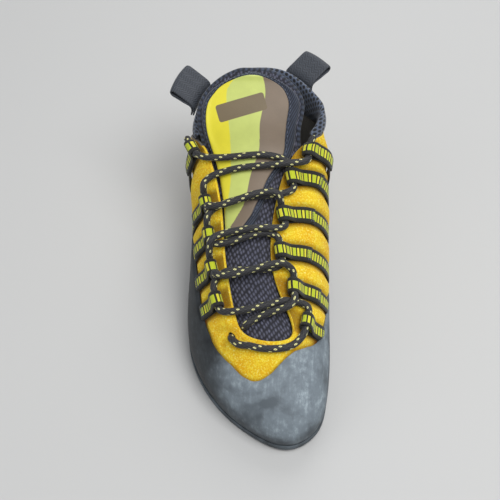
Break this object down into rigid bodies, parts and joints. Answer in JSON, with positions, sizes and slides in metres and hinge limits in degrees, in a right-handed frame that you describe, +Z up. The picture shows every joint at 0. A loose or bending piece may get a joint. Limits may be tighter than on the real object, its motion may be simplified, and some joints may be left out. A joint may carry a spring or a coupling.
{
  "type": "climbing shoe",
  "caption": "Lace-up climbing shoe for the right foot: hollow suede upper, rubber rand and sole, padded collar and tongue, webbing lace loops and pull loops.",
  "frame": {"origin": "on the floor under the centre of the heel", "axes": "+Z up, the toe points to -Y, +X is the medial side"},
  "size_m": [0.1136, 0.2593, 0.1246],
  "materials": {
    "sole_rubber": "matt climbing rubber",
    "rand_rubber": "scuffed matt rubber, greyer over the toes",
    "footbed": "felt-faced board",
    "suede": "yellow split suede with a short nap",
    "mesh": "spacer mesh over foam",
    "tongue_mesh": "knitted mesh",
    "facing": "ribbed fabric over foam",
    "panel": "printed film on fabric",
    "webbing": "woven webbing, black with lime blocks",
    "lace": "round braided lace, black with pale flecks",
    "tape": "ribbed woven tape"
  },
  "bodies": {
    "root": {"outsole": "sole_rubber", "insole": "footbed", "rand": "rand_rubber", "upper": "suede", "collar": "mesh", "tongue": "tongue_mesh", "tongue_facing": "facing", "tongue_panel": "panel", "lace_bar": "lace", "pull_loop_medial": "tape", "pull_loop_lateral": "tape", "lace_loop_medial_1": "webbing", "lace_loop_medial_2": "webbing", "lace_loop_medial_3": "webbing", "lace_loop_medial_4": "webbing", "lace_loop_medial_5": "webbing", "lace_loop_medial_6": "webbing", "lace_loop_lateral_1": "webbing", "lace_loop_lateral_2": "webbing", "lace_loop_lateral_3": "webbing", "lace_loop_lateral_4": "webbing", "lace_loop_lateral_5": "webbing", "lace_crossing_1": "lace", "lace_crossing_2": "lace", "lace_crossing_3": "lace", "lace_crossing_4": "lace", "lace_crossing_5": "lace"}
  },
  "joints": []
}
